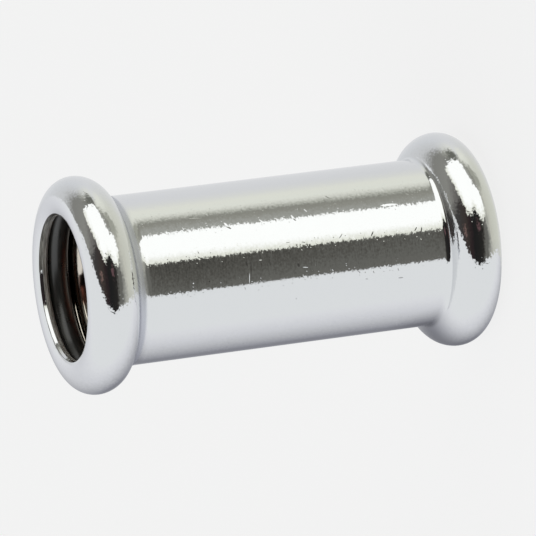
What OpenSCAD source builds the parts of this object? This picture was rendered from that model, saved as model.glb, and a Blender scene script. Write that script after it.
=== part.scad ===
// Straight press coupling for a 15 mm pipe, standing on one of its two mouths.
// A tube whose ends are rolled out into beads, with a sealing ring in the chamber of each.
// The origin is the centre of the lower mouth, and +Z runs along the bore.

/* [Pipe] */
// Outside diameter of the pipe that is pushed in
pipe_d = 15; // [12:0.5:28]
// Clearance between the pipe and the bore, all round
pipe_gap = 0.15; // [0.1:0.05:0.3]

/* [Body] */
// Length over both mouths
body_len = 45.8; // [30:0.1:120]
// Thickness of the tube's wall
wall_t = 1.25; // [1:0.05:1.6]
// Radius of the gentle curve that leads from the tube into the corner in front of a bead
flare_r = 2.5; // [1.5:0.1:4]
// Angle that the gentle curve turns through, in degrees
flare_turn = 20; // [5:1:25]
// Radius of that concave corner
neck_r = 0.5; // [0.2:0.05:1]
// Radius of the rounding at the front of a lip
lip_round_r = 0.25; // [0.15:0.05:0.5]
// Width of the chamfer between a lip's bore and its chamber
lip_edge = 0.3; // [0.1:0.05:0.35]

/* [Sealing] */
// Thickness of a sealing ring's round section
ring_t = 2.5; // [2:0.1:3]
// Clearance between a sealing ring and the front of its chamber
seat_gap = 0.05; // [0.02:0.01:0.15]
// How much larger the curve at the back of a chamber is than the one at its front
back_extra_r = 0.5; // [0.2:0.05:1]

/* [Hidden] */
$fn = 96;

// Curves that blend cross by this little, because shapes that only touch leave a seam
blend_lap = 0.0002;

// Inner radius of the straight tube
bore_r = pipe_d / 2 + pipe_gap;

// A sealing ring lies level with the bore, behind a lip one wall thick
ring_mid_r = bore_r + ring_t / 2;
chamber_front_r = ring_t / 2 + seat_gap;
ring_z = wall_t + chamber_front_r;

// The chamber's front and back curves meet at its widest place, over the ring's middle
chamber_back_r = chamber_front_r + back_extra_r;
back_mid_r = ring_mid_r - back_extra_r - blend_lap;

// The gentle curve meets the tube, and the corner's curve meets it and the back of the bead
flare_mid_r = bore_r + wall_t + flare_r - blend_lap;
flare_to_neck = flare_r - neck_r + blend_lap;
neck_mid_r = flare_mid_r - flare_to_neck * cos(flare_turn);
back_to_neck = chamber_back_r + wall_t + neck_r - blend_lap;
neck_z = ring_z + sqrt(pow(back_to_neck, 2) - pow(neck_mid_r - back_mid_r, 2));
neck_turn = atan2(neck_z - ring_z, neck_mid_r - back_mid_r);
flare_z = neck_z + flare_to_neck * sin(flare_turn);

// The lip's rounding meets the bore on one side and the front of the bead on the other
bead_front_r = chamber_front_r + wall_t;
lip_mid_r = bore_r + lip_round_r - blend_lap;
ring_to_lip = bead_front_r - lip_round_r + blend_lap;
lip_z = ring_z - sqrt(pow(ring_to_lip, 2) - pow(ring_mid_r - lip_mid_r, 2));
lip_turn = atan2(ring_mid_r - lip_mid_r, ring_z - lip_z);

// Rectangle between two corners, each given as its distance from the axis and its height
module block(low_r, low_z, high_r, high_z) {
    polygon([[low_r, low_z], [high_r, low_z], [high_r, high_z], [low_r, high_z]]);
}

// The part of a disc that lies further out than low_r and higher than low_z
module disc_part(mid_r, mid_z, disc_r, low_r, low_z) {
    intersection() {
        translate([mid_r, mid_z]) circle(disc_r);
        block(low_r, low_z, mid_r + 2 * disc_r, mid_z + 2 * disc_r);
    }
}

// Back of the bead, neck and tube in section up to the middle of the body, filled to the axis:
// cover is 0 for the space inside, and the wall's thickness for the metal's outside
module back_section(cover) {
    back_r = chamber_back_r + cover;
    touch_r = back_mid_r + back_r * cos(neck_turn);
    flare_cut_r = flare_r + wall_t - cover;
    disc_part(back_mid_r, ring_z, back_r, back_mid_r, ring_z);
    difference() {
        block(0, ring_z, touch_r, flare_z);
        translate([neck_mid_r, neck_z]) circle(neck_r + wall_t - cover);
        disc_part(flare_mid_r, flare_z, flare_cut_r, 0, flare_z - flare_cut_r * sin(flare_turn));
    }
    block(0, ring_z, bore_r + cover, body_len / 2);
}

// Front of the bead and its lip in section, filled to the axis
module front_section() {
    touch_r = ring_mid_r - bead_front_r * sin(lip_turn);
    disc_part(ring_mid_r, ring_z, bead_front_r, touch_r, -bead_front_r);
    translate([lip_mid_r, lip_z]) circle(lip_round_r);
    block(0, lip_z, ring_mid_r, ring_z);
}

// Mouth and front of the chamber in section, with the flat seat that a ring rests against
module mouth_section() {
    seat_z = wall_t + blend_lap;
    disc_part(ring_mid_r, ring_z, chamber_front_r, ring_mid_r - chamber_front_r / 2, 0);
    polygon([
        [0, -wall_t], [bore_r, -wall_t], [bore_r, seat_z - lip_edge], [bore_r + lip_edge, seat_z],
        [ring_mid_r, seat_z], [ring_mid_r, ring_z], [0, ring_z]
    ]);
}

// Flat shape of the lower half, and its mirror image for the upper one
module both_halves() {
    children();
    translate([0, body_len]) mirror([0, 1]) children();
}

module coupling_body() {
    color([0.78, 0.78, 0.8]) rotate_extrude() both_halves() difference() {
        union() {
            back_section(wall_t);
            front_section();
        }
        union() {
            back_section(0);
            mouth_section();
        }
    }
}

// Sealing ring whose middle lies at this height
module o_ring(height) {
    color([0.08, 0.08, 0.08]) rotate_extrude() translate([ring_mid_r, height]) circle(ring_t / 2);
}

module lower_o_ring() {
    o_ring(ring_z);
}

module upper_o_ring() {
    o_ring(body_len - ring_z);
}

coupling_body();
lower_o_ring();
upper_o_ring();
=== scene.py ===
import math
import bmesh
import bpy
from mathutils import Matrix, Vector


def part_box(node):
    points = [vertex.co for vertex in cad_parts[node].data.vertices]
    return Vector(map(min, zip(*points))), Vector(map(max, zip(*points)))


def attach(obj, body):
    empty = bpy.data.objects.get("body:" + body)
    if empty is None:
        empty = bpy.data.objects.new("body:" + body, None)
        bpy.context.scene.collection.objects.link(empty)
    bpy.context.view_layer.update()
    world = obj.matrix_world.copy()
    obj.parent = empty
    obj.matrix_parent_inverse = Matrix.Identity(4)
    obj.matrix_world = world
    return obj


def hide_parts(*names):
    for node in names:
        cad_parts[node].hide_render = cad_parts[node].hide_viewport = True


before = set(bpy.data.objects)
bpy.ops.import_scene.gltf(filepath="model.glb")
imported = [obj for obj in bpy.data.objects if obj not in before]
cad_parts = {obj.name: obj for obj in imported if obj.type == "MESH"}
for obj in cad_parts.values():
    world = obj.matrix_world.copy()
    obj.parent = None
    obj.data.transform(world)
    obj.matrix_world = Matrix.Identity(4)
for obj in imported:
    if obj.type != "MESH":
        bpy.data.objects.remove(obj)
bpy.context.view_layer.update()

# Shapes are in metres, as the frame is, and materials count in millimetres and degrees
MM = 0.001
DEGREES_IN_RADIAN = 180 / math.pi

# What the frame says of the coupling
BODY_LOW, BODY_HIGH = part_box("coupling_body")
RING_LOW, RING_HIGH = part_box("lower_o_ring")
BODY_LENGTH = BODY_HIGH.z - BODY_LOW.z
BODY_LENGTH_MM = BODY_LENGTH / MM
RING_THICKNESS = RING_HIGH.z - RING_LOW.z
RING_HEIGHT = (RING_HIGH.z + RING_LOW.z) / 2
RING_RADIUS = (RING_HIGH.x - RING_LOW.x - RING_THICKNESS) / 2
BORE_RADIUS = RING_RADIUS - RING_THICKNESS / 2
# Sizes of the section that the frame's boxes don't tell
WALL = 1.25 * MM
BACK_EXTRA = 0.5 * MM
FLARE_TURN = math.radians(20)
LIP_CHAMFER = 0.3 * MM
# The flares at the two necks aren't quite alike, and the CAD has the shape between them
LOWER_FLARE = 1.3 * MM
UPPER_FLARE = 3.4 * MM
LOWER_NECK = 0.4 * MM
UPPER_NECK = 0.8 * MM
# A narrow cone leads from the rounded lip into the bore
LIP_ROUNDING = 0.1 * MM
LEAD_IN = 0.13 * MM
LEAD_IN_TURN = math.radians(22.6)
# Points that lie nearer to each other than this are welded
WELD = 0.001 * MM

# The camera looks down on the standing coupling and is turned so that it lies in the picture
CAMERA_ELEVATION = math.radians(19.778)
CAMERA_ROLL = math.radians(-97.331)
CAMERA_DISTANCE = 520.17 * MM
FOCAL_LENGTH = 331.62
SENSOR = 36
# How far the middle of the picture lies to the right of the coupling's middle, and below it
AIM_RIGHT = 0.144 * MM
AIM_BELOW = 0.632 * MM
CENTRE = Vector((0, 0, BODY_LENGTH / 2))


def opaque(colour):
    """Light values, with full cover, of a colour written as its six hexadecimal digits."""
    parts = [int(colour[place:place + 2], 16) / 255 for place in (0, 2, 4)]
    light = [part / 12.92 if part <= 0.04045 else ((part + 0.055) / 1.055) ** 2.4 for part in parts]
    return (*light, 1)


class Number:
    """A number in a node tree, so that sums on it can be written out in the usual way."""

    def __init__(self, tree, socket):
        self.tree = tree
        self.socket = socket

    def math(self, operation, *others):
        """What a maths node makes of this number and the others."""
        node = add(self.tree, "ShaderNodeMath", self, *others, operation=operation)
        return Number(self.tree, node.outputs[0])

    def __add__(self, other):
        return self.math("ADD", other)

    def __sub__(self, other):
        return self.math("SUBTRACT", other)

    def __rsub__(self, other):
        return -self + other

    def __mul__(self, other):
        return self.math("MULTIPLY", other)

    def __truediv__(self, other):
        return self.math("DIVIDE", other)

    def __neg__(self):
        return self * -1

    def root(self):
        return self.math("SQRT")

    __radd__ = __add__
    __rmul__ = __mul__


def add(tree, kind, *values, **settings):
    """Adds a node with these settings, and feeds its inputs in their order."""
    node = tree.nodes.new(kind)
    for name, value in settings.items():
        setattr(node, name, value)
    for socket, value in zip([s for s in node.inputs if s.enabled], values):
        feed(tree, socket, value)
    return node


def feed(tree, socket, value):
    """Gives a node's input a constant, a colour's digits, or what another node puts out."""
    if isinstance(value, str):
        value = opaque(value)
    if isinstance(value, Number):
        value = value.socket
    if isinstance(value, bpy.types.NodeSocket):
        tree.links.new(value, socket)
    else:
        socket.default_value = value


def feed_all(tree, node, **values):
    """Feeds a node's inputs by their names, with an underscore for each space."""
    for name, value in values.items():
        feed(tree, node.inputs[name.replace("_", " ")], value)


class Lathe:
    """Turns arcs and straight lines of a section round the coupling's axis, in a node tree."""

    def __init__(self, tree, rail_radius, steps_round):
        self.tree = tree
        self.rail_radius = rail_radius
        circle = add(tree, "GeometryNodeCurvePrimitiveCircle")
        feed_all(tree, circle, Resolution=steps_round, Radius=rail_radius)
        upright = add(tree, "GeometryNodeSetCurveNormal", circle.outputs[0], mode="Z_UP")
        self.rail = upright.outputs[0]

    def place(self, radius, height):
        """Where a point of the section goes, given its distance from the axis and its height."""
        return add(self.tree, "ShaderNodeCombineXYZ", radius - self.rail_radius, height).outputs[0]

    def arc(self, middle, radius, start, sweep, steps):
        """Arc round a middle that is given as its distance from the axis and its height."""
        tree = self.tree
        arc = add(tree, "GeometryNodeCurveArc", mode="RADIUS")
        feed_all(tree, arc, Resolution=steps + 1, Radius=radius, Start_Angle=start, Sweep_Angle=sweep)
        moved = add(tree, "GeometryNodeTransform")
        feed_all(tree, moved, Geometry=arc.outputs[0], Translation=self.place(*middle))
        return moved.outputs[0]

    def line(self, start, end, steps):
        whole = add(self.tree, "GeometryNodeCurvePrimitiveLine", self.place(*start), self.place(*end))
        stepped = add(self.tree, "GeometryNodeResampleCurve", mode="COUNT")
        feed_all(self.tree, stepped, Curve=whole.outputs[0], Count=steps + 1)
        return stepped.outputs[0]

    def turned(self, curves, finish):
        """The surface that the curves sweep. The rail turns sections upside down."""
        skin = add(self.tree, "GeometryNodeCurveToMesh", self.rail, joined(self.tree, curves))
        upright = add(self.tree, "GeometryNodeTransform")
        feed_all(self.tree, upright, Geometry=skin.outputs[0], Scale=(1, 1, -1))
        finished = add(self.tree, "GeometryNodeSetMaterial")
        feed_all(self.tree, finished, Geometry=upright.outputs[0], Material=finish)
        return finished.outputs[0]


def joined(tree, shapes):
    join = add(tree, "GeometryNodeJoinGeometry")
    for shape in shapes:
        tree.links.new(shape, join.inputs[0])
    return join.outputs[0]


def new_tree(name, sizes):
    """A geometry tree with one named input for each size. Gives back the tree and its inputs."""
    tree = bpy.data.node_groups.new(name, "GeometryNodeTree")
    tree.interface.new_socket("Geometry", in_out="OUTPUT", socket_type="NodeSocketGeometry")
    for size, value in sizes.items():
        kind = "NodeSocketInt" if isinstance(value, int) else "NodeSocketFloat"
        tree.interface.new_socket(size, in_out="INPUT", socket_type=kind)
    group_in = tree.nodes.new("NodeGroupInput")
    return tree, {size: Number(tree, group_in.outputs[size]) for size in sizes}


def close_tree(tree, shape):
    """Welds a tree's shape where its surfaces meet, and puts it out as plain geometry."""
    weld = add(tree, "GeometryNodeMergeByDistance")
    feed_all(tree, weld, Geometry=shape, Distance=WELD)
    real = add(tree, "GeometryNodeRealizeInstances", weld.outputs[0])
    group_out = tree.nodes.new("NodeGroupOutput")
    tree.links.new(real.outputs[0], group_out.inputs[0])


def built(name, tree, sizes):
    """Runs a tree with these sizes and keeps what it makes as a plain mesh object."""
    maker = bpy.data.objects.new(name + "_maker", bpy.data.meshes.new(name + "_maker"))
    bpy.context.scene.collection.objects.link(maker)
    modifier = maker.modifiers.new("Maker", "NODES")
    modifier.node_group = tree
    for socket in tree.interface.items_tree:
        if socket.in_out == "INPUT":
            modifier[socket.identifier] = sizes[socket.name]
    graph = bpy.context.evaluated_depsgraph_get()
    mesh = bpy.data.meshes.new_from_object(maker.evaluated_get(graph))
    bpy.data.objects.remove(maker)
    mesh.name = name
    piece = bpy.data.objects.new(name, mesh)
    bpy.context.scene.collection.objects.link(piece)
    return piece


BODY_SIZES = {
    "Body length": BODY_LENGTH,
    "Bore radius": BORE_RADIUS,
    "Wall": WALL,
    "Ring radius": RING_RADIUS,
    "Ring height": RING_HEIGHT,
    "Back extra": BACK_EXTRA,
    "Lower flare": LOWER_FLARE,
    "Upper flare": UPPER_FLARE,
    "Flare turn": FLARE_TURN,
    "Lower neck": LOWER_NECK,
    "Upper neck": UPPER_NECK,
    "Lip rounding": LIP_ROUNDING,
    "Lead in": LEAD_IN,
    "Lead in turn": LEAD_IN_TURN,
    "Lip chamfer": LIP_CHAMFER,
    "Steps round": 256,
}

RING_SIZES = {
    "Ring radius": RING_RADIUS,
    "Ring thickness": RING_THICKNESS,
    "Ring height": RING_HEIGHT,
    "Steps round": 192,
}


def half_wall(lathe, size, end, finishes):
    """The wall from a mouth at the bottom to the middle, with its curves as arcs that blend.

    A curve's plain name, such as neck or lip, stands for its radius."""
    half_turn, quarter = math.pi, math.pi / 2
    bore, wall, chamfer = size["Bore radius"], size["Wall"], size["Lip chamfer"]
    middle = size["Body length"] * 0.5
    ring_radius, ring_height = size["Ring radius"], size["Ring height"]
    flare, neck = size[end + " flare"], size[end + " neck"]
    flare_turn = size["Flare turn"]

    # The back of the bead meets the neck, and the neck meets the flare
    front = ring_height - wall
    back = front + size["Back extra"]
    back_radius = ring_radius - size["Back extra"]
    flare_radius = bore + wall + flare
    neck_radius = flare_radius - (flare - neck) * flare_turn.math("COSINE")
    reach = back + wall + neck
    across = neck_radius - back_radius
    neck_height = ring_height + (reach * reach - across * across).root()
    neck_turn = (neck_height - ring_height).math("ARCTAN2", across)
    flare_height = neck_height + (flare - neck) * flare_turn.math("SINE")

    # The front of the bead meets the lip's rounding, and that meets the cone
    bead = front + wall
    lip, lead_in, lead_turn = size["Lip rounding"], size["Lead in"], size["Lead in turn"]
    lip_radius = bore + lead_in + lip * lead_turn.math("COSINE")
    lip_reach = bead - lip
    lip_across = ring_radius - lip_radius
    lip_height = ring_height - (lip_reach * lip_reach - lip_across * lip_across).root()
    lip_turn = lip_across.math("ARCTAN2", ring_height - lip_height)
    lead_start = lip_height - lip * lead_turn.math("SINE")
    lead_end = lead_start + lead_in / lead_turn.math("TANGENT")

    ring_mid = (ring_radius, ring_height)
    back_mid = (back_radius, ring_height)
    neck_mid = (neck_radius, neck_height)
    flare_mid = (flare_radius, flare_height)
    lip_mid = (lip_radius, lip_height)
    outside = [
        lathe.line((bore + wall, middle), (bore + wall, flare_height), 6),
        lathe.arc(flare_mid, flare, half_turn, flare_turn, 10),
        lathe.arc(neck_mid, neck, flare_turn + half_turn, neck_turn - flare_turn, 10),
        lathe.arc(back_mid, back + wall, neck_turn, -neck_turn, 40),
        lathe.arc(ring_mid, bead, 0, -quarter - lip_turn, 44),
        lathe.arc(lip_mid, lip, -quarter - lip_turn, lip_turn + lead_turn - quarter, 8),
        lathe.line((bore + lead_in, lead_start), (bore, lead_end), 6),
    ]
    edge = [
        lathe.line((bore, lead_end), (bore, wall - chamfer), 4),
        lathe.line((bore, wall - chamfer), (bore + chamfer, wall), 2),
    ]
    inside = [
        lathe.line((bore + chamfer, wall), (ring_radius, wall), 4),
        lathe.arc(ring_mid, front, -quarter, quarter, 12),
        lathe.arc(back_mid, back, 0, neck_turn, 12),
        lathe.arc(neck_mid, neck + wall, neck_turn + half_turn, flare_turn - neck_turn, 10),
        lathe.arc(flare_mid, flare + wall, flare_turn + half_turn, -flare_turn, 8),
        lathe.line((bore, flare_height), (bore, middle), 4),
    ]
    parts = zip((outside, edge, inside), finishes)
    return joined(lathe.tree, [lathe.turned(curves, finish) for curves, finish in parts])


def body_tree(finishes):
    """The coupling's lower half, and the upper one turned over above it."""
    tree, size = new_tree("Coupling body", BODY_SIZES)
    lathe = Lathe(tree, size["Bore radius"], size["Steps round"])
    lower = half_wall(lathe, size, "Lower", finishes)
    upper = half_wall(lathe, size, "Upper", finishes)
    lift = add(tree, "ShaderNodeCombineXYZ", 0, 0, size["Body length"])
    mirror = add(tree, "GeometryNodeTransform")
    feed_all(tree, mirror, Geometry=upper, Scale=(1, 1, -1), Translation=lift.outputs[0])
    turned_over = add(tree, "GeometryNodeFlipFaces", mirror.outputs[0])
    close_tree(tree, joined(tree, [lower, turned_over.outputs[0]]))
    return tree


def ring_tree(rubber):
    tree, size = new_tree("Sealing ring", RING_SIZES)
    lathe = Lathe(tree, size["Ring radius"], size["Steps round"])
    middle = (size["Ring radius"], size["Ring height"])
    section = lathe.arc(middle, size["Ring thickness"] / 2, 0, 2 * math.pi, 64)
    close_tree(tree, lathe.turned([section], rubber))
    return tree


def point_outwards(piece, sharp_angle):
    """Turns the faces of a closed piece to point out of it, and keeps only real corners sharp."""
    work = bmesh.new()
    work.from_mesh(piece.data)
    bmesh.ops.recalc_face_normals(work, faces=work.faces)
    work.to_mesh(piece.data)
    work.free()
    piece.data.shade_smooth()
    piece.data.set_sharp_from_angle(angle=sharp_angle)


def new_material(name):
    material = bpy.data.materials.new(name)
    material.use_nodes = True
    tree = material.node_tree
    return material, tree, tree.nodes["Principled BSDF"]


def vector(tree, operation, *values):
    """What a vector maths node makes of these arrows, as another arrow."""
    return add(tree, "ShaderNodeVectorMath", *values, operation=operation).outputs["Vector"]


def measure(tree, operation, *values):
    """What a vector maths node makes of these arrows, as a number."""
    node = add(tree, "ShaderNodeVectorMath", *values, operation=operation)
    return Number(tree, node.outputs["Value"])


def parts_of(tree, arrow):
    parts = add(tree, "ShaderNodeSeparateXYZ", arrow).outputs
    return [Number(tree, part) for part in parts]


def noise_at(tree, place, swell, detail):
    """What a noise node puts out at a place, with swells of this size along the three axes."""
    node = add(tree, "ShaderNodeTexNoise")
    feed_all(tree, node, Vector=vector(tree, "DIVIDE", place, swell), Scale=1, Detail=detail)
    return node.outputs


def between(value, low, high, start=0, end=1):
    """Goes smoothly from start to end while the value goes from low to high."""
    node = add(value.tree, "ShaderNodeMapRange", interpolation_type="SMOOTHSTEP")
    feed_all(value.tree, node, Value=value, From_Min=low, From_Max=high, To_Min=start, To_Max=end)
    return Number(value.tree, node.outputs[0])


def above(value, edge, softness):
    """From 0 below an edge to 1 above it."""
    return between(value - edge, -softness, softness)


def below(value, edge, softness):
    """From 1 below an edge to 0 above it."""
    return between(value - edge, -softness, softness, 1, 0)


def band(value, middle, width):
    """From 1 in the middle of a band to 0 outside it."""
    off = (value - middle).math("ABSOLUTE")
    return between(off, 0.3 * width, 0.6 * width, 1, 0)


def blend(share, low, high):
    """One colour where the share is 0, and another where it is 1."""
    node = add(share.tree, "ShaderNodeMix", data_type="RGBA")
    feed(share.tree, node.inputs["Factor"], share)
    colours = [s for s in node.inputs if s.enabled and s.type == "RGBA"]
    feed(share.tree, colours[0], low)
    feed(share.tree, colours[1], high)
    return [s for s in node.outputs if s.enabled][0]


class Skin:
    """A point on a turned piece: its place in millimetres, and the ways round and along there."""

    def __init__(self, tree):
        self.tree = tree
        place = add(tree, "ShaderNodeTexCoord").outputs["Object"]
        self.place = vector(tree, "SCALE", place, 1 / MM)
        self.normal = add(tree, "ShaderNodeNewGeometry").outputs["Normal"]
        x, y, self.height = parts_of(tree, self.place)
        self.radius = (x * x + y * y).root()
        self.angle = y.math("ARCTAN2", x) * DEGREES_IN_RADIAN
        # How far it is from the nearer mouth
        self.depth = self.height.math("MINIMUM", BODY_LENGTH_MM - self.height)
        sideways = add(tree, "ShaderNodeCombineXYZ", -y, x, 0).outputs[0]
        self.round = vector(tree, "NORMALIZE", sideways)
        self.along = vector(tree, "NORMALIZE", vector(tree, "CROSS_PRODUCT", self.normal, self.round))

    def noise(self, swell, detail):
        return Number(self.tree, noise_at(self.tree, self.place, swell, detail)[0])

    def scaled(self, arrow, size):
        return vector(self.tree, "SCALE", arrow, size)

    def leaning(self, *leans):
        """The normal, leant over by small arrows."""
        total = self.normal
        for lean in leans:
            total = vector(self.tree, "ADD", total, lean)
        return vector(self.tree, "NORMALIZE", total)

    def tube_to_bead(self, on_tube, on_bead):
        """Goes from one value on the tube to another on the rolled beads."""
        return between(self.radius, 8.95, 9.6, on_tube, on_bead)


def grain(skin, lean):
    """Fine unevenness of a surface."""
    uneven = noise_at(skin.tree, skin.place, (0.27, 0.27, 0.24), 2)["Color"]
    arrow = vector(skin.tree, "SUBTRACT", uneven, (0.5, 0.5, 0.5))
    return skin.scaled(arrow, lean)


def polish_lines(skin, lean):
    """Faint lines round the coupling, left by the polishing belt, stronger in some places."""
    unrolled = add(skin.tree, "ShaderNodeCombineXYZ", skin.angle, skin.radius, skin.height)
    line = Number(skin.tree, noise_at(skin.tree, unrolled.outputs[0], (12, 0.09, 0.09), 2)[0])
    strength = between(skin.noise((3.5, 3.5, 3.5), 1), 0.35, 0.65, 0.4, 1)
    return skin.scaled(skin.along, (line - 0.5) * strength * lean)


def slanted_mark(up, side, sine, cosine, length, width):
    """From 1 in the middle of an oval mark to 0 outside it, with its slant as a sine and cosine."""
    along = (up * cosine + side * sine) / length
    across = (side * cosine - up * sine) / width
    return between((along * along + across * across).root(), 0.35, 0.55, 1, 0)


def flecks(skin, cell, length, width, share, lean):
    """Scattered small dents, each leaning the surface a little up or down."""
    tree = skin.tree
    place = vector(tree, "DIVIDE", skin.place, (cell, cell, cell))
    cells = add(tree, "ShaderNodeTexVoronoi")
    feed_all(tree, cells, Vector=place, Scale=1)
    away = vector(tree, "SUBTRACT", place, cells.outputs["Position"])
    up = measure(tree, "DOT_PRODUCT", away, skin.round) * cell
    side = measure(tree, "DOT_PRODUCT", away, skin.along) * cell
    # A cell's random colour says how its dent slants, whether it is there and how deep it is
    slant, pick, depth = parts_of(tree, cells.outputs["Color"])
    slant = slant * (0.5 * math.pi) + 0.15
    mark = slanted_mark(up, side, slant.math("SINE"), slant.math("COSINE"), length, width)
    mark = mark * pick.math("LESS_THAN", share)
    return skin.scaled(skin.round, mark * (depth - 0.5) * (2 * lean))


# Marks on the side that shows: angle round the axis, height, length, width, slant, lean and stain.
# Lengths are in millimetres and angles in degrees, and a stain of 1 is black.
MARKS = [
    (-48.4, 17.71, 0.60, 0.15, 42, -4, 0.15),
    (-61.0, 22.25, 0.55, 0.14, 20, -5, 0),
    (-63.4, 22.10, 0.40, 0.16, 40, 7, 0.2),
    (-57.4, 20.61, 0.50, 0.10, 35, -7, 0),
    (-61.1, 11.39, 1.90, 0.28, 88, -4, 0),
    (-80.2, 14.04, 0.60, 0.13, -35, -6, 0.3),
    (-79.1, 17.54, 0.70, 0.09, -45, -6, 0.1),
    (-95.5, 28.10, 2.40, 0.10, -4, -6, 0),
    (-94.5, 27.90, 2.20, 0.12, -6, 0, 0.35),
    (-89.5, 28.30, 0.60, 0.22, 10, 0, 0.4),
    (-94.8, 22.65, 0.45, 0.26, 20, 0, 0.5),
    (-96.9, 21.90, 0.70, 0.09, 80, -9, 0),
    (-110.3, 15.13, 0.34, 0.16, 80, 0, 0.3),
    (-117.9, 22.99, 0.20, 0.16, 0, 0, 0.25),
    (-112.6, 11.28, 0.60, 0.17, 88, 0, 0.45),
    (-80.7, 9.14, 0.55, 0.12, -40, -6, 0.3),
    (-81.4, 8.50, 0.50, 0.12, -15, -6, 0.3),
    (-89.0, 8.72, 0.60, 0.09, 10, 6, 0),
    (-103.2, 9.12, 0.60, 0.12, -50, 4, 0.1),
    (-52.6, 32.62, 1.60, 0.10, 84, 3, 0),
    (-60.5, 29.60, 0.55, 0.22, 30, -5, 0),
    (-63.4, 29.35, 0.45, 0.18, 45, 7, 0.2),
    (-98.1, 32.54, 0.18, 0.16, 0, 0, 0.4),
    (-98.0, 34.30, 0.16, 0.14, 0, -9, 0),
    (-88.3, 26.74, 0.34, 0.09, 85, 8, 0),
]


def marks(skin):
    """How the marks lean the surface up or down, and how much they stain it."""
    lean, stain = 0, 0
    for angle, height, length, width, slant, degrees, dirt in MARKS:
        up = (skin.angle - angle) * math.radians(1) * skin.radius
        slant = math.radians(slant)
        mark = slanted_mark(up, skin.height - height, math.sin(slant), math.cos(slant), length, width)
        if degrees:
            lean = mark * math.radians(degrees) + lean
        if dirt:
            stain = mark * dirt + stain
    return skin.scaled(skin.round, lean), stain


def polished_ring(skin, depth, width):
    """A narrow ring inside the mouth that faces the light as the lip's lead-in does."""
    tree = skin.tree
    inward = vector(tree, "CROSS_PRODUCT", (0, 0, 1), skin.round)
    mouthward = (skin.height - BODY_LENGTH_MM / 2).math("SIGN") * math.sin(LEAD_IN_TURN)
    mouthward = add(tree, "ShaderNodeCombineXYZ", 0, 0, mouthward).outputs[0]
    facing = vector(tree, "ADD", skin.scaled(inward, math.cos(LEAD_IN_TURN)), mouthward)
    return skin.scaled(vector(tree, "SUBTRACT", facing, skin.normal), band(skin.depth, depth, width))


def dull_shaded_upper_neck(skin):
    """The corner of the upper neck, where the plating is duller, and where a bluish grey painted shade
    darkens its colour.
    """
    return band(skin.height, BODY_LENGTH_MM - 5.65, 1.35) * between(skin.radius, 10, 10.6, 1, 0)


def lower_bead_painted_reflection(skin):
    """A painted dark reflection on the back of the lower bead: a smudge in its colour that stands in for
    the tube's shaded underside mirrored there.
    """
    middle = (-9.9, 0.4, 5.7)
    return between(measure(skin.tree, "DISTANCE", skin.place, middle), 0.3, 7.2, 1, 0)


def scuffed_lip(skin, colour):
    """The lip's lead-in is scuffed on one side, and its edge has a thin dark line.

    Gives back the new colour, and how scuffed it is where."""
    lead_in = between(skin.radius, 7.8, 7.84, 1, 0)
    ragged_angle = skin.angle + skin.noise((0.5, 0.5, 0.2), 3) * 22
    scuff = lead_in * between(ragged_angle, 84, 88, 1, 0) * between(skin.angle, -100, -80)
    lines = skin.noise((1.6, 1.6, 0.05), 2)
    colour = blend(scuff, colour, blend(between(lines, 0.4, 0.65), "4c4a46", "8b8983"))
    # darkens a thin line round the lead-in's edge, broken up by noise
    thin_dark_line = band(skin.depth, 0.285, 0.05) * lead_in * between(lines, 0.35, 0.5)
    return blend(thin_dark_line * 0.8, colour, "2a2927"), scuff


def chrome_plating():
    """The outside: polished chrome with its grain, polish lines, dents and other marks."""
    material, tree, shader = new_material("chrome_plating")
    skin = Skin(tree)
    mark_lean, stain = marks(skin)
    corner = dull_shaded_upper_neck(skin)
    colour = blend(stain, "e6e7e9", "3a3936")
    # painted shade: the upper neck's corner is tinted bluish grey, and is also made rougher
    colour = blend(corner, colour, "c9cbd3")
    # painted reflection: the lower bead's back is darkened where the tube's shaded underside would show
    # in it
    colour = blend(lower_bead_painted_reflection(skin), colour, "7a7b84")
    colour, scuff = scuffed_lip(skin, colour)
    haze = between(skin.noise((2.5, 2.5, 0.8), 3), 0.3, 0.7, 0.045, 0.08)
    normal = skin.leaning(
        grain(skin, skin.tube_to_bead(0.075, 0.15)),
        polish_lines(skin, skin.tube_to_bead(0.06, 0.2)),
        flecks(skin, cell=0.34, length=0.14, width=0.08, share=0.35, lean=0.1),
        flecks(skin, cell=0.9, length=0.45, width=0.08, share=0.3, lean=0.08),
        mark_lean,
    )
    roughness = haze + scuff * 0.25 + corner * 0.3
    feed_all(tree, shader, Base_Color=colour, Metallic=1, Roughness=roughness, Normal=normal)
    return material


def cut_lip_edge():
    """The tube's cut end, with fine lines of the cut and a bright line painted at the chamfer's edge as
    a highlight.
    """
    material, tree, shader = new_material("cut_lip_edge")
    skin = Skin(tree)
    lines = skin.noise((1.5, 1.5, 0.05), 2)
    colour = blend(between(lines, 0.35, 0.65), "8f8d88", "dddcd6")
    # painted highlight: a bright line along the chamfer's edge
    painted_highlight_line = band(skin.depth, 0.94, 0.09) * between(lines, 0.3, 0.5)
    colour = blend(painted_highlight_line * 0.6, colour, "f4f3ee")
    normal = skin.leaning(grain(skin, 0.15), polish_lines(skin, 0.6))
    feed_all(tree, shader, Base_Color=colour, Metallic=0.45, Roughness=0.33, Normal=normal)
    return material


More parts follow.
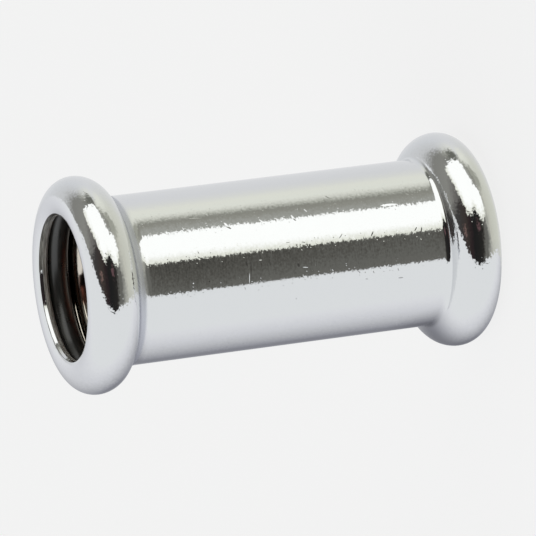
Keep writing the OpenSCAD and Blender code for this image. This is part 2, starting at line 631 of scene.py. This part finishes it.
def bare_copper():
    """The inside: the plating's pale edge reaches past the ring, and from there it is copper."""
    material, tree, shader = new_material("bare_copper")
    skin = Skin(tree)
    patches = skin.noise((1.1, 1.1, 0.7), 3)
    tarnish = blend(between(patches, 0.35, 0.65), "c98d76", "dca58e")
    colour = blend(between(skin.depth + patches * 1.5, 6.1, 7.4), "ddd5ca", tarnish)
    # Painted reflections: a red patch and a black one lie side by side behind the ring, standing in for
    # reflected copper and the dark side where the camera stands
    painted_reflection_zone = between(skin.depth, 4.5, 4.9) * between(skin.depth, 5.8, 6.8, 1, 0)
    uneven_angle = skin.angle + patches * 10
    colour = blend(band(uneven_angle, 98, 22) * painted_reflection_zone, colour, "b98575")
    colour = blend(band(uneven_angle, 91, 11) * painted_reflection_zone, colour, "3a322e")
    # Two rings are polished bright beside them
    polished = between(skin.angle, 94, 104)
    rings = [polished_ring(skin, depth, width) for depth, width in ((4.17, 0.06), (4.83, 0.08))]
    rings = [skin.scaled(ring, polished) for ring in rings]
    normal = skin.leaning(grain(skin, 0.06), polish_lines(skin, 0.1), *rings)
    feed_all(tree, shader, Base_Color=colour, Metallic=1, Roughness=0.16, Normal=normal)
    return material


def sealing_rubber():
    """Smooth black rubber with a faint, uneven bloom."""
    material, tree, shader = new_material("sealing_rubber")
    skin = Skin(tree)
    bloom = between(skin.noise((1.4, 1.4, 1.4), 3), 0.3, 0.7)
    colour = blend(bloom, "20201f", "2b2b29")
    normal = skin.leaning(grain(skin, 0.02))
    feed_all(tree, shader, Base_Color=colour, Roughness=bloom * 0.05 + 0.27, Normal=normal)
    feed_all(tree, shader, Specular_IOR_Level=0.9)
    return material


def make_camera():
    """Camera at the photograph's viewing angle. Gives back the picture's right, up and back."""
    data = bpy.data.cameras.new("camera")
    data.lens = FOCAL_LENGTH
    data.sensor_width = SENSOR
    data.clip_start = 0.01
    data.clip_end = 10
    camera = bpy.data.objects.new("camera", data)
    bpy.context.scene.collection.objects.link(camera)
    bpy.context.scene.camera = camera
    tilt = Matrix.Rotation(math.pi / 2 - CAMERA_ELEVATION, 3, "X")
    turned = tilt @ Matrix.Rotation(CAMERA_ROLL, 3, "Z")
    right, up, back = turned.col
    place = CENTRE + back * CAMERA_DISTANCE + right * AIM_RIGHT - up * AIM_BELOW
    camera.matrix_world = Matrix.Translation(place) @ turned.to_4x4()
    return right, up, back


def make_floor():
    """Pale floor that the camera sees as a plain light grey, with the coupling's soft shadow."""
    reach = 3.0
    mesh = bpy.data.meshes.new("floor")
    corners = [(-reach, -reach, 0), (reach, -reach, 0), (reach, reach, 0), (-reach, reach, 0)]
    mesh.from_pydata(corners, [], [(0, 1, 2, 3)])
    floor = bpy.data.objects.new("floor", mesh)
    bpy.context.scene.collection.objects.link(floor)
    floor.visible_glossy = False
    material, tree, shader = new_material("floor_paint")
    feed_all(tree, shader, Base_Color="f0f0f0", Roughness=0.9)
    glow = add(tree, "ShaderNodeEmission", "fcfcfc", 1)
    seen = add(tree, "ShaderNodeLightPath").outputs["Is Camera Ray"]
    glow_share = Number(tree, seen) * 0.8
    mix = add(tree, "ShaderNodeMixShader", glow_share, shader.outputs[0], glow.outputs[0])
    tree.links.new(mix.outputs[0], tree.nodes["Material Output"].inputs["Surface"])
    mesh.materials.append(material)


class Surroundings:
    """A direction, as degrees across from the one behind the camera, and degrees above it."""

    def __init__(self, tree, right, up, back):
        self.tree = tree
        self.right, self.up, self.back = right, up, back
        self.direction = add(tree, "ShaderNodeTexCoord").outputs["Generated"]
        self.across = self.reach(right).math("ARCTAN2", self.reach(back)) * DEGREES_IN_RADIAN
        self.height = self.reach(up).math("ARCSINE") * DEGREES_IN_RADIAN

    def reach(self, axis):
        """How far the direction reaches along an axis."""
        return measure(self.tree, "DOT_PRODUCT", self.direction, tuple(axis))

    def degrees_from(self, across, height):
        """How many degrees the direction is away from a given one."""
        across, height = math.radians(across), math.radians(height)
        level = self.right * math.sin(across) + self.back * math.cos(across)
        middle = level * math.cos(height) + self.up * math.sin(height)
        return self.reach(middle).math("ARCCOSINE") * DEGREES_IN_RADIAN

    def near(self, across, height, inner, outer):
        """From 1 within the inner number of degrees of a direction to 0 beyond the outer one."""
        return between(self.degrees_from(across, height), inner, outer, 1, 0)

    def edge(self, places):
        """Height of an edge in the surroundings, from places given as (across, height)."""
        curve = add(self.tree, "ShaderNodeFloatCurve")
        line = curve.mapping.curves[0]
        while len(line.points) < len(places):
            line.points.new(0.5, 0.5)
        for point, (across, height) in zip(line.points, places):
            point.location = (share_of_turn(across), (height + 90) / 180)
            point.handle_type = "VECTOR"
        curve.mapping.update()
        feed_all(self.tree, curve, Value=share_of_turn(self.across))
        return Number(self.tree, curve.outputs[0]) * 180 - 90


def share_of_turn(degrees):
    """From 0 at -180 degrees to 1 at 180."""
    return (degrees + 180) / 360


def tones(degrees, places):
    """Colour that changes with an angle, from places given as (degrees, colour)."""
    node = add(degrees.tree, "ShaderNodeValToRGB", share_of_turn(degrees))
    elements = node.color_ramp.elements
    while len(elements) < len(places):
        elements.new(0.5)
    for element, (place, tone) in zip(elements, places):
        element.position = share_of_turn(place)
        element.color = opaque(tone)
    return node.outputs[0]


def side_walls(around):
    """Pale walls at the sides, and darkness where the camera stands, with two warm spots in it."""
    walls = tones(around.across, [
        (-180, "cfd0d1"), (-150, "c9cbcd"), (-128, "bfc0c0"), (-110, "7d7d78"), (-80, "83837d"),
        (-60, "6c6a66"), (-30, "504f4c"), (30, "4c4b48"), (52, "86867f"), (66, "a9a99f"), (80, "bdbdb1"),
        (100, "c3c4b8"), (130, "c9cabf"), (155, "cccdca"), (180, "cfd0d1"),
    ])
    gloom = tones(around.across, [
        (-180, "8c8b84"), (-105, "84837a"), (-90, "6c6b66"), (-60, "3c3b3a"), (-42, "3a3634"),
        (-26, "38322f"), (-14, "2b2324"), (0, "1e1e1e"), (30, "262523"), (35, "3a3936"), (38, "4a4944"),
        (40, "54534e"), (42, "5f5f5a"), (46, "64635e"), (52, "5f5f5a"), (60, "7c7c76"), (68, "9c9c94"),
        (80, "b4b4aa"), (90, "babbb0"), (180, "cfd0d1"),
    ])
    gloom = blend(around.near(-34, 1, 2, 8), gloom, "76605a")
    gloom = blend(around.near(20, 12, 2, 8), gloom, "5e484a")
    gloom_top = around.edge([
        (-180, -8), (-110, 0), (-90, 4), (-60, 14), (-45, 26), (-30, 32), (40, 30), (60, 10), (80, 0),
        (180, 0),
    ])
    return blend(above(around.height, gloom_top, 5), gloom, walls)


def with_ceiling(around, colour):
    """A pale ceiling above the walls, with a dark patch at the left and a grey panel at the right."""
    ceiling = tones(around.across, [
        (-180, "d3d4d0"), (-160, "d5d6ce"), (-135, "cacbc4"), (-115, "a8a9a0"), (-98, "7b7b74"),
        (-84, "747570"), (-70, "c8c9c4"), (20, "d5d6cf"), (40, "a0a199"), (50, "989992"), (58, "8b8b82"),
        (69, "83837a"), (73, "92938a"), (79, "a5a69c"), (86, "b2b3a8"), (96, "c7c8be"), (110, "d3d4c9"),
        (124, "d9dbd0"), (156, "dadbd0"), (168, "d5d6cf"), (180, "d2d3d2"),
    ])
    start = around.edge([(-180, 60), (60, 50), (90, 50), (110, 62), (180, 60)])
    colour = blend(above(around.height, start, 12), colour, ceiling)
    colour = blend(around.near(-115, 80, 6, 16), colour, "65665f")
    panel = above(around.height, 44, 5) * below(around.height, 70, 3)
    panel = panel * above(around.across, 74, 6) * below(around.across, 100, 6)
    return blend(panel, colour, "999a8f")


def with_soft_box(around, colour):
    """A large soft box over the camera, white but for its lower edge, which isn't even."""
    bottom = around.edge([
        (-180, 44), (-83, 43), (-60, 38), (-45, 34), (-30, 29), (-16, 19), (-4, 20), (4, 25), (14, 30),
        (24, 26), (32, 21), (38.2, 20.2), (39.6, 18), (46, 19), (52, 24), (64, 25), (180, 20),
    ])
    top = around.edge([
        (-180, 90), (26, 90), (34, 80), (40, 68), (44, 60.3), (50, 54), (64, 50), (180, 50),
    ])
    inside = above(around.height, bottom, 0.8) * below(around.height, top, 1.2)
    inside = inside * above(around.across, -82, 1.5) * below(around.across, 63, 1.2)
    box = blend(above(around.height, bottom + 6, 7), "dedfd2", "fefffb")
    return blend(inside, colour, box)


def with_sweep(around, colour):
    """A pale sweep below, which darkens towards a place behind the coupling."""
    sweep = tones(around.degrees_from(172, -22), [
        (0, "7a7b81"), (7, "7f8086"), (10, "88898f"), (18, "9b9ca1"), (22, "a3a4a8"), (30, "b3b4b7"),
        (34, "b9babd"), (43, "c6c7ca"), (51, "cecfd2"), (57, "d3d4d6"), (63, "d7d8da"), (70, "d9dbdb"),
    ])
    edge = around.edge([
        (-180, -2), (-160, 0), (-140, 8), (-120, 12), (-90, 11), (-78, 7), (-66, 2), (-54, -4),
        (-44, -8), (-30, -17), (-15, -25), (0, -27.5), (15, -29), (30, -27.5), (37, -24), (41, -22),
        (43, -21), (44, -18.7), (46, -20.2), (60, -16), (75, -11), (90, -6), (110, -2), (180, -2),
    ])
    return blend(above(around.height, edge, 1), sweep, colour)


def make_studio(right, up, back):
    """The studio lights the coupling and shows in its chrome, and the camera sees plain grey."""
    world = bpy.data.worlds.new("studio")
    bpy.context.scene.world = world
    world.use_nodes = True
    tree = world.node_tree
    around = Surroundings(tree, right, up, back)
    colour = with_ceiling(around, side_walls(around))
    colour = with_sweep(around, with_soft_box(around, colour))
    shine = tree.nodes["Background"]
    feed_all(tree, shine, Color=colour, Strength=1.25)
    plain = add(tree, "ShaderNodeBackground", "f0f0f0", 1)
    seen = add(tree, "ShaderNodeLightPath").outputs["Is Camera Ray"]
    mix = add(tree, "ShaderNodeMixShader", seen, shine.outputs[0], plain.outputs[0])
    tree.links.new(mix.outputs[0], tree.nodes["World Output"].inputs["Surface"])


def make_coupling():
    finishes = (chrome_plating(), cut_lip_edge(), bare_copper())
    body = built("press_coupling", body_tree(finishes), BODY_SIZES)
    point_outwards(body, math.radians(35))
    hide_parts("coupling_body")
    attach(body, "root")
    rubber = ring_tree(sealing_rubber())
    for node in ("lower_o_ring", "upper_o_ring"):
        low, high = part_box(node)
        sizes = {**RING_SIZES, "Ring height": (low.z + high.z) / 2}
        ring = built("sealing_ring_" + node.split("_")[0], rubber, sizes)
        point_outwards(ring, math.pi)
        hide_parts(node)
        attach(ring, "root")


right, up, back = make_camera()
make_floor()
make_studio(right, up, back)
make_coupling()
bpy.context.scene.view_settings.view_transform = "Standard"
